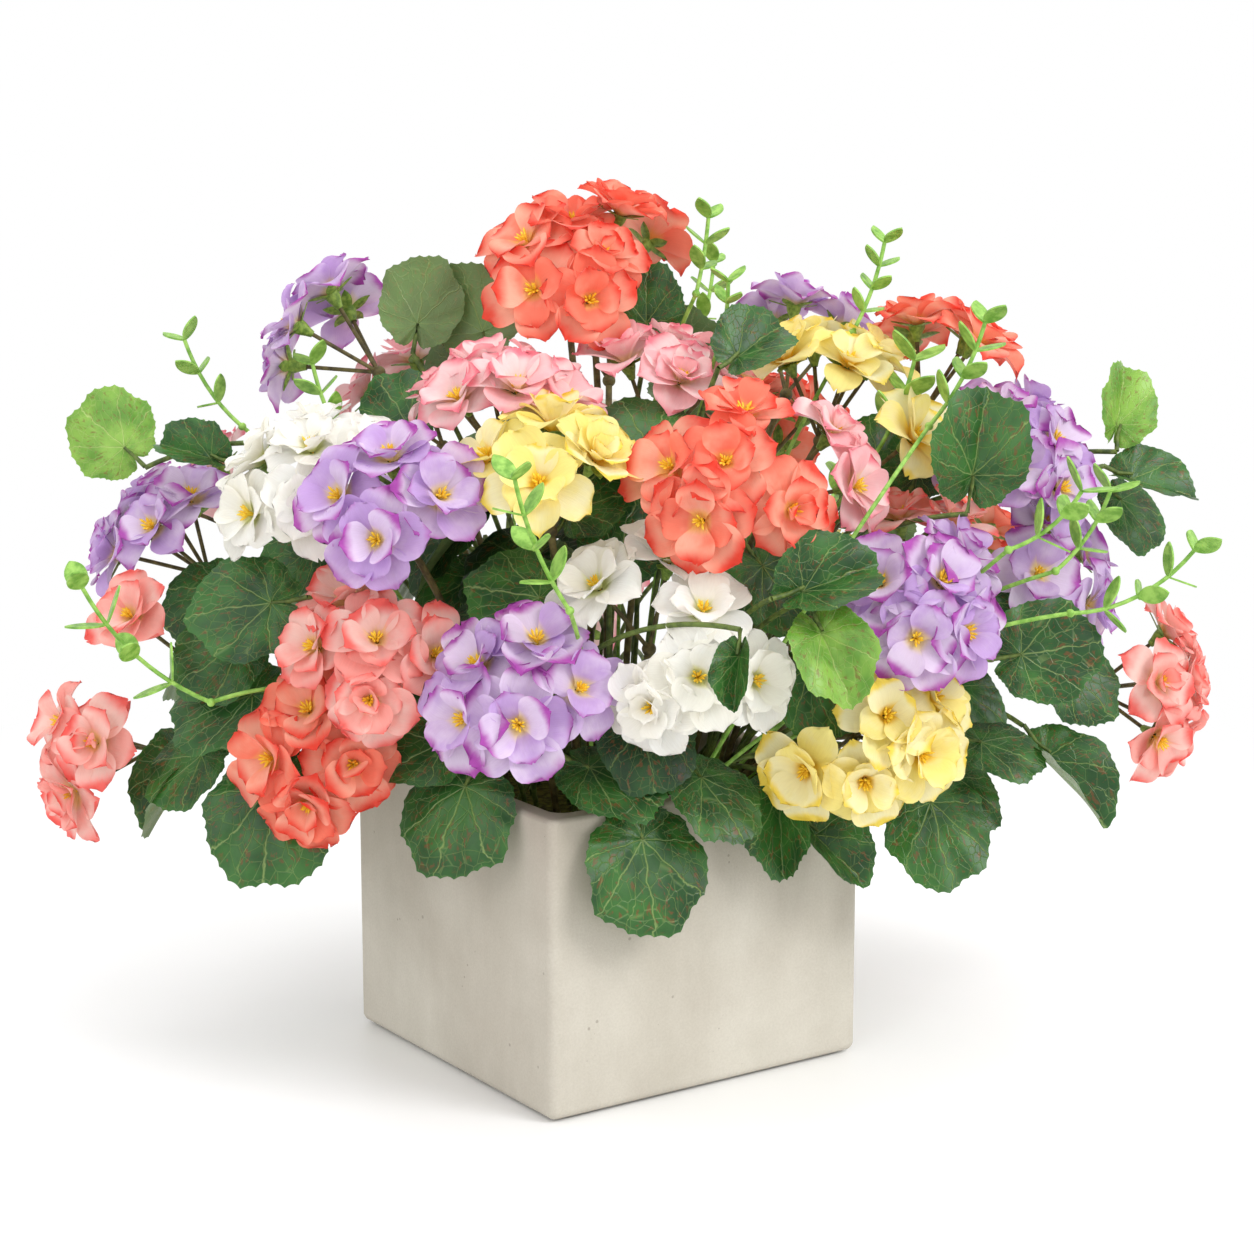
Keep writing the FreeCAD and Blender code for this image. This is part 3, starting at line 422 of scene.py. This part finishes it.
class Shader:
    """A material's node tree, with short ways to add and join nodes."""

    def __init__(self, name):
        self.material = bpy.data.materials.new(name)
        self.material.use_nodes = True
        self.tree = self.material.node_tree
        self.tree.nodes.clear()
        self.out = self.tree.nodes.new("ShaderNodeOutputMaterial")

    def node(self, kind, inputs=(), **settings):
        made = self.tree.nodes.new("ShaderNode" + kind)
        for key, value in settings.items():
            setattr(made, key, value)
        for key, value in dict(inputs).items():
            if isinstance(value, bpy.types.NodeSocket):
                self.tree.links.new(value, made.inputs[key])
            else:
                made.inputs[key].default_value = value
        return made

    def maths(self, operation, first, second=0.0, third=0.0, clamp=False):
        made = self.node("Math", {0: first, 1: second, 2: third}, operation=operation)
        made.use_clamp = clamp
        return made.outputs[0]

    def ramp(self, value, stops):
        made = self.node("ValToRGB", {"Fac": value})
        ramp = made.color_ramp
        ramp.interpolation = "EASE"
        while len(ramp.elements) < len(stops):
            ramp.elements.new(0.5)
        for element, (place, colour) in zip(ramp.elements, stops):
            element.position = place
            element.color = (*colour, 1)
        return made.outputs["Color"]

    def fade(self, value, start, end):
        """0 below start, 1 above end, eased between; the other way round if start is larger."""
        low, high = ((0, 0, 0), (1, 1, 1)) if start < end else ((1, 1, 1), (0, 0, 0))
        return self.ramp(value, ((min(start, end), low), (max(start, end), high)))

    def mix(self, share, first, second, blend="MIX"):
        made = self.tree.nodes.new("ShaderNodeMix")
        made.data_type, made.blend_type = "RGBA", blend
        for key, value in ((0, share), (6, first), (7, second)):
            if isinstance(value, bpy.types.NodeSocket):
                self.tree.links.new(value, made.inputs[key])
            else:
                made.inputs[key].default_value = value if key == 0 else (*value, 1)
        return made.outputs[2]

    def noise(self, where, scale, detail=4.0, roughness=0.55, distortion=0.0):
        made = self.node("TexNoise", {
            "Vector": where, "Scale": scale, "Detail": detail, "Roughness": roughness,
            "Distortion": distortion,
        })
        return made.outputs["Fac"]

    def bump(self, height, strength, distance):
        inputs = {"Height": height, "Strength": strength, "Distance": distance}
        return self.node("Bump", inputs).outputs["Normal"]

    def place(self):
        return self.node("TexCoord").outputs["Object"]

    def finish(self, shader):
        self.tree.links.new(shader, self.out.inputs["Surface"])
        return self.material


def srgb(red, green, blue):
    """A linear colour from 0-255 display values."""
    return tuple(
        value / 12.92 if value <= 0.04045 else ((value + 0.055) / 1.055) ** 2.4
        for value in (red / 255, green / 255, blue / 255)
    )


def petal_material(name, heart, body, edge, blush, edge_start):
    """Printed silk: a tinted heart, pale patches and stronger edges, with fine radial veins."""
    s = Shader(name)
    tone_node = s.node("Attribute", attribute_name="tone")
    split = s.node("SeparateColor", {"Color": tone_node.outputs["Color"]})
    share, side, chance = split.outputs[0], split.outputs[1], split.outputs[2]
    where = s.place()
    cloud = s.noise(where, 75.0, 3.0)
    veins = s.node("CombineXYZ", {
        0: s.maths("MULTIPLY", side, 9.0), 1: share, 2: s.maths("MULTIPLY", chance, 40.0),
    })
    lines = s.noise(veins.outputs[0], 3.2, 5.0, 0.6)
    patch = s.maths("MULTIPLY_ADD", chance, 0.5, cloud)
    flank = s.maths("MULTIPLY", side, side)
    flank = s.maths("MULTIPLY", flank, s.maths("MULTIPLY_ADD", share, 0.9, 0.12))
    margin = s.maths("MAXIMUM", share, flank)
    margin = s.maths("MULTIPLY_ADD", s.maths("SUBTRACT", patch, 0.75), 0.42, margin)
    margin = s.maths("MULTIPLY_ADD", s.maths("SUBTRACT", lines, 0.5), 0.10, margin)
    colour = s.mix(s.ramp(patch, ((0.5, (0, 0, 0)), (0.95, (0.9, 0.9, 0.9)))), body, blush)
    colour = s.mix(s.fade(margin, edge_start, 1.0), colour, edge)
    colour = s.mix(s.fade(share, 0.34, 0.10), colour, heart)
    fine = s.ramp(lines, ((0.35, (0.93, 0.91, 0.91)), (0.62, (1, 1, 1))))
    colour = s.mix(0.6, colour, fine, "MULTIPLY")
    weave = s.noise(where, 2600.0, 2.0)
    height = s.maths("MULTIPLY_ADD", weave, 0.25, lines)
    normal = s.bump(height, 0.3, 0.0005)
    base = s.node("BsdfPrincipled", {"Base Color": colour, "Roughness": 0.6, "Normal": normal})
    base.inputs["Specular IOR Level"].default_value = 0.3
    base.inputs["Sheen Weight"].default_value = 0.2
    base.inputs["Sheen Roughness"].default_value = 0.4
    through = s.node("BsdfTranslucent", {"Color": colour, "Normal": normal})
    both = s.node("MixShader", {0: 0.3, 1: base.outputs[0], 2: through.outputs[0]})
    return s.finish(both.outputs[0])


def leaf_material(name, dark, light, vein):
    """Printed begonia leaf: pale branching veins, red-brown flecks and a satin face."""
    s = Shader(name)
    tone_node = s.node("Attribute", attribute_name="tone")
    split = s.node("SeparateColor", {"Color": tone_node.outputs["Color"]})
    share = tone_node.outputs["Alpha"]
    chance = split.outputs[2]
    x = s.maths("MULTIPLY_ADD", split.outputs[0], 2.0, -1.0)
    y = s.maths("MULTIPLY_ADD", split.outputs[1], 2.0, -1.0)
    flat = s.node("CombineXYZ", {0: x, 1: y, 2: s.maths("MULTIPLY", chance, 30.0)}).outputs[0]
    wobble = s.maths("SUBTRACT", s.noise(flat, 3.0, 3.0), 0.5)
    angle = s.maths("MULTIPLY_ADD", wobble, 0.35, s.maths("ARCTAN2", x, y))

    def line(gap, width):
        away = s.maths("DIVIDE", gap, width, clamp=True)
        return s.maths("SUBTRACT", 1.0, away, clamp=True)

    def veins(count, width):
        turn = s.maths("ADD", s.maths("MULTIPLY", angle, count / (2 * math.pi)), 0.5)
        fold = s.maths("ABSOLUTE", s.maths("SUBTRACT", s.maths("FRACT", turn), 0.5))
        return line(s.maths("MULTIPLY", fold, share), width * count / 9)

    main = veins(9, 0.020)
    forks = s.maths("MULTIPLY", veins(18, 0.010), s.maths("GREATER_THAN", share, 0.42))
    cells = s.node("TexVoronoi", {"Vector": flat, "Scale": 6.5}, feature="DISTANCE_TO_EDGE")
    net = line(cells.outputs["Distance"], 0.045)
    lines = s.maths("MAXIMUM", s.maths("MULTIPLY", main, 0.85), s.maths("MULTIPLY", forks, 0.65))
    lines = s.maths("MAXIMUM", lines, s.maths("MULTIPLY", net, 0.30))
    blotch = s.noise(flat, 1.7, 4.0)
    colour = s.ramp(blotch, ((0.32, dark), (0.7, light)))
    streak = s.node("CombineXYZ", {
        0: s.maths("MULTIPLY", angle, 6.0), 1: s.maths("MULTIPLY", share, 4.0),
        2: s.maths("MULTIPLY", chance, 50.0),
    }).outputs[0]
    fleck = s.fade(s.noise(streak, 2.3, 2.0, 0.6), 0.56, 0.66)
    none, full, faint = (0, 0, 0), (1, 1, 1), (0.2, 0.2, 0.2)
    ring = s.ramp(share, ((0.25, none), (0.45, full), (0.86, full), (0.97, faint)))
    between = s.maths("SUBTRACT", 1.0, main, clamp=True)
    flecks = s.maths("MULTIPLY", s.maths("MULTIPLY", fleck, ring), s.maths("MULTIPLY", between, 0.62))
    colour = s.mix(flecks, colour, srgb(118, 62, 30))
    colour = s.mix(s.maths("MULTIPLY", lines, 0.6), colour, vein)
    border = s.fade(share, 0.955, 0.995)
    colour = s.mix(s.maths("MULTIPLY", border, 0.35), colour, light)
    back = s.node("NewGeometry").outputs["Backfacing"]
    colour = s.mix(s.maths("MULTIPLY", back, 0.45), colour, srgb(150, 170, 110))
    height = s.maths("SUBTRACT", s.maths("MULTIPLY", blotch, 0.3), s.maths("MULTIPLY", lines, 0.9))
    normal = s.bump(height, 0.55, 0.0007)
    base = s.node("BsdfPrincipled", {"Base Color": colour, "Normal": normal, "Roughness": 0.36})
    base.inputs["Specular IOR Level"].default_value = 0.45
    through = s.node("BsdfTranslucent", {"Color": s.mix(0.5, colour, light)})
    both = s.node("MixShader", {0: 0.14, 1: base.outputs[0], 2: through.outputs[0]})
    return s.finish(both.outputs[0])


def plain_material(name, dark, light, roughness, scale, bump_depth, specular=0.4):
    """A mottled plastic, wire or fibre with a fine surface."""
    s = Shader(name)
    where = s.place()
    mottle = s.noise(where, scale, 5.0)
    colour = s.ramp(mottle, ((0.3, dark), (0.7, light)))
    rough = s.maths("MULTIPLY_ADD", mottle, 0.25, roughness - 0.1)
    normal = s.bump(s.noise(where, scale * 6, 3.0), 0.5, bump_depth)
    base = s.node("BsdfPrincipled", {"Base Color": colour, "Roughness": rough, "Normal": normal})
    base.inputs["Specular IOR Level"].default_value = specular
    return s.finish(base.outputs[0])


def cement_material():
    """Pale cast cement: soft clouds, fine sand, small air pits and a slightly darker top."""
    s = Shader("cast_cement_look")
    where = s.place()

    def shaded(colour, strength, value, dark):
        grey = s.ramp(value, ((0.3, dark), (0.7, (1, 1, 1))))
        return s.mix(strength, colour, grey, "MULTIPLY")

    cloud = s.noise(where, 9.0, 6.0, 0.6, 0.4)
    drag = s.node("Mapping", {"Vector": where, "Scale": (1.0, 1.0, 0.28)}).outputs[0]
    streaks = s.noise(drag, 26.0, 5.0, 0.65)
    sand = s.noise(where, 900.0, 3.0, 0.7)
    colour = s.ramp(cloud, ((0.25, srgb(188, 181, 168)), (0.75, srgb(210, 205, 193))))
    colour = shaded(colour, 0.4, streaks, (0.80, 0.79, 0.76))
    colour = shaded(colour, 0.5, sand, (0.84, 0.83, 0.81))
    height_of = s.node("SeparateXYZ", {0: where}).outputs[2]
    top = s.node("MapRange", {0: height_of, 1: 0.075, 2: 0.129, 3: 0.0, 4: 1.0}).outputs[0]
    top = s.maths("MULTIPLY", top, s.maths("MULTIPLY_ADD", cloud, 0.8, 0.2))
    colour = s.mix(s.maths("MULTIPLY", top, 0.45), colour, srgb(150, 136, 120))
    pits = s.node("TexVoronoi", {"Vector": where, "Scale": 230.0, "Randomness": 1.0})
    size = s.noise(where, 60.0, 2.0)
    wide = s.maths("MULTIPLY", s.fade(size, 0.54, 0.74), 0.19)
    hole = s.maths("LESS_THAN", pits.outputs["Distance"], wide)
    colour = s.mix(s.maths("MULTIPLY", hole, 0.42), colour, srgb(120, 110, 98))
    height = s.maths("MULTIPLY_ADD", sand, 0.35, s.maths("MULTIPLY", hole, -1.4))
    height = s.maths("MULTIPLY_ADD", streaks, 0.5, height)
    normal = s.bump(height, 0.5, 0.0006)
    base = s.node("BsdfPrincipled", {"Base Color": colour, "Roughness": 0.82, "Normal": normal})
    base.inputs["Specular IOR Level"].default_value = 0.25
    return s.finish(base.outputs[0])


# Each silk: its heart, body, edge and pale patches, and how far out the edge colour starts.
SILKS = {
    "coral": ((255, 204, 120), (255, 138, 112), (242, 74, 54), (255, 192, 166), 0.62),
    "pink": ((255, 226, 190), (255, 198, 202), (247, 138, 154), (255, 232, 230), 0.70),
    "salmon": ((255, 222, 158), (255, 178, 168), (252, 112, 104), (255, 222, 212), 0.66),
    "purple": ((250, 232, 180), (206, 172, 226), (186, 84, 184), (238, 222, 244), 0.74),
    "yellow": ((250, 214, 60), (255, 240, 148), (253, 226, 92), (255, 248, 204), 0.82),
    "white": ((236, 240, 176), (252, 250, 240), (255, 253, 246), (255, 255, 252), 0.7),
}
PETALS = {
    name: petal_material(f"{name}_silk", *(srgb(*colour) for colour in colours), edge_start)
    for name, (*colours, edge_start) in SILKS.items()
}
STAMEN = plain_material("stamen_look", srgb(246, 190, 30), srgb(255, 228, 84), 0.5, 900, 0.0002)
CALYX = plain_material("calyx_look", srgb(88, 122, 40), srgb(150, 178, 78), 0.5, 500, 0.0003)
LEAF = leaf_material("begonia_leaf", srgb(24, 66, 26), srgb(58, 112, 44), srgb(176, 196, 118))
# Painted shade: a darker copy of the leaf look, for the leaves inside the mound.
LEAF_SHADED = leaf_material("begonia_leaf_painted_shade", srgb(18, 50, 22), srgb(40, 84, 36), srgb(140, 164, 92))
# Painted light: a lighter lime copy of the leaf look stands in for light shining through three
# back-lit leaves.
LEAF_LIT = leaf_material(
    "begonia_leaf_lime", srgb(84, 138, 40), srgb(140, 184, 74), srgb(206, 220, 140)
)
STALK = plain_material("stalk_look", srgb(58, 78, 30), srgb(110, 128, 58), 0.5, 300, 0.0003)
STEM = plain_material("stem_look", srgb(66, 58, 30), srgb(118, 108, 62), 0.55, 260, 0.0004)
SPRIG = plain_material("sprig_look", srgb(104, 156, 52), srgb(160, 204, 96), 0.42, 240, 0.0003)
FOAM = plain_material("foam_look", srgb(70, 92, 48), srgb(96, 120, 66), 0.9, 700, 0.0006, 0.1)
MOSS = plain_material("moss_look", srgb(46, 44, 20), srgb(104, 104, 44), 0.95, 350, 0.004, 0.1)
PAD = plain_material("pad_look", srgb(28, 28, 28), srgb(44, 44, 44), 0.7, 500, 0.0002)
CEMENT = cement_material()


def repaint(node, material):
    """Give a CAD node its look."""
    mesh = NODES[node].data
    mesh.materials.clear()
    mesh.materials.append(material)


def stand_for(piece, node):
    """A built piece shows in place of a CAD node and moves with its body."""
    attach(piece, BODY_OF[node])
    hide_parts(node)


# ---------------------------------------------------------------------- the pieces

for name, material in (
    ("planter_box", CEMENT), ("base_pad", PAD), ("foam_block", FOAM), ("moss_cover", MOSS),
    ("leaf_stalks", STALK),
):
    repaint(name, material)
for name in NODES:
    if name.endswith("_stems") or name.endswith("_stem"):
        repaint(name, STEM)

FLORETS = {name: florets_of(name) for name in sorted(NODES) if name.endswith("_petals")}
for name, florets in FLORETS.items():
    rng = np.random.default_rng(sum(map(ord, name)))
    colour = name.split("_")[0]
    look = "salmon" if name.removesuffix("_petals") in SALMON_HEADS else colour
    sheaf = Sheaf()
    for base, axis in florets:
        add_floret(sheaf, rng, base, axis, rng.uniform(0.94, 1.08), rng.random())
    stand_for(sheaf.build(name.replace("_petals", "_florets"), [PETALS[look]]), name)

for name in sorted(NODES):
    if not name.endswith("_pegs"):
        continue
    own = name.replace("_pegs", "_petals")
    if own in FLORETS:
        mine = FLORETS[own]
    else:
        colour = name.split("_")[0]
        loose = [n for n in FLORETS if n.startswith(colour) and BODY_OF[n] == "arrangement"]
        mine = [floret for n in loose for floret in FLORETS[n]]
    rng = np.random.default_rng(sum(map(ord, name)))
    sheaf = Sheaf()
    for base, axis in mine:
        add_stamens(sheaf, rng, base, axis)
        add_calyx(sheaf, rng, base, axis)
    stand_for(sheaf.build(name.replace("_pegs", "_hearts"), [STAMEN, CALYX]), name)

STALK_ENDS = stalk_ends_of("leaf_stalks")
for name in sorted(n for n in NODES if n.startswith("begonia_leaves")):
    rng = np.random.default_rng(sum(map(ord, name)))
    inner = name.endswith("inner")
    sheaf, lime = Sheaf(), Sheaf()
    for blade in leaf_frames(name, STALK_ENDS):
        is_lime = min((blade[0] - Vector(spot)).length for spot in LIME_SPOTS) < LIME_REACH
        add_leaf(lime if is_lime else sheaf, rng, blade, INNER_LEAF_GRID if inner else LEAF_GRID)
    # Inner leaves take the darker leaf look, painted shade for their place inside the mound.
    piece = sheaf.build(name + "_silk", [LEAF_SHADED if inner else LEAF, STALK])
    stand_for(piece, name)
    # The back-lit leaves get the lighter lime look, painted light.
    if lime.count:
        backlit_leaves = lime.build(name + "_lime", [LEAF_LIT, STALK])
        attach(backlit_leaves, BODY_OF[name])

repaint("boxwood_sprigs", SPRIG)

# ---------------------------------------------------------------- floor, light and camera

bpy.ops.mesh.primitive_plane_add(size=FLOOR_SIDE, location=(0, 0, 0))
floor = bpy.context.object
floor.name = "floor"
paper = Shader("floor_look")
grain = paper.noise(paper.place(), 3.0, 3.0)
tint = paper.ramp(grain, ((0.3, (0.93, 0.93, 0.93)), (0.7, (0.95, 0.95, 0.95))))
sheen = paper.node("BsdfPrincipled", {"Base Color": tint, "Roughness": 0.42})
sheen.inputs["Specular IOR Level"].default_value = 0.3
away = paper.node("VectorMath", {0: paper.place()}, operation="LENGTH").outputs["Value"]
lit = paper.node("Emission", {"Color": (1.0, 1.0, 1.0, 1.0), "Strength": 1.0})
fade = paper.fade(away, FADE_START, FADE_END)
sweep = paper.node("MixShader", {0: fade, 1: sheen.outputs[0], 2: lit.outputs[0]})
floor.data.materials.append(paper.finish(sweep.outputs[0]))

world = bpy.data.worlds.new("studio")
bpy.context.scene.world = world
world.use_nodes = True
world.node_tree.nodes["Background"].inputs["Color"].default_value = (1, 1, 1, 1)
world.node_tree.nodes["Background"].inputs["Strength"].default_value = 1.0


def softbox(name, place, target, size, power):
    """A square area light that looks at a point."""
    light = bpy.data.lights.new(name, "AREA")
    light.size, light.energy = size, power
    lamp = bpy.data.objects.new(name, light)
    lamp.location = place
    lamp.rotation_euler = (Vector(target) - Vector(place)).to_track_quat("-Z", "Y").to_euler()
    bpy.context.scene.collection.objects.link(lamp)


softbox("key", (0.75, -1.7, 1.5), (0, 0, 0.2), 1.0, 24)
softbox("fill", (-1.7, -0.6, 1.2), (0, 0, 0.2), 1.2, 6)
softbox("top", (-0.2, 0.3, 2.2), (0, 0, 0.2), 1.4, 10)

camera = bpy.data.objects.new("camera", bpy.data.cameras.new("camera"))
camera.data.sensor_width = CAMERA_SENSOR
camera.data.lens = CAMERA_LENS
bearing, elevation = math.radians(CAMERA_BEARING), math.radians(CAMERA_ELEVATION)
level = Vector((math.cos(bearing), math.sin(bearing), 0)) * math.cos(elevation)
back = level + UP * math.sin(elevation)
right = UP.cross(back).normalized()
above = back.cross(right)
aim = right * CAMERA_SHIFT[0] + above * CAMERA_SHIFT[1]
camera.matrix_world = Matrix((right, above, back)).transposed().to_4x4()
camera.location = aim + back * CAMERA_DISTANCE
camera.data.clip_start, camera.data.clip_end = 0.05, 20
bpy.context.scene.collection.objects.link(camera)
bpy.context.scene.camera = camera
bpy.context.scene.view_settings.view_transform = "Standard"
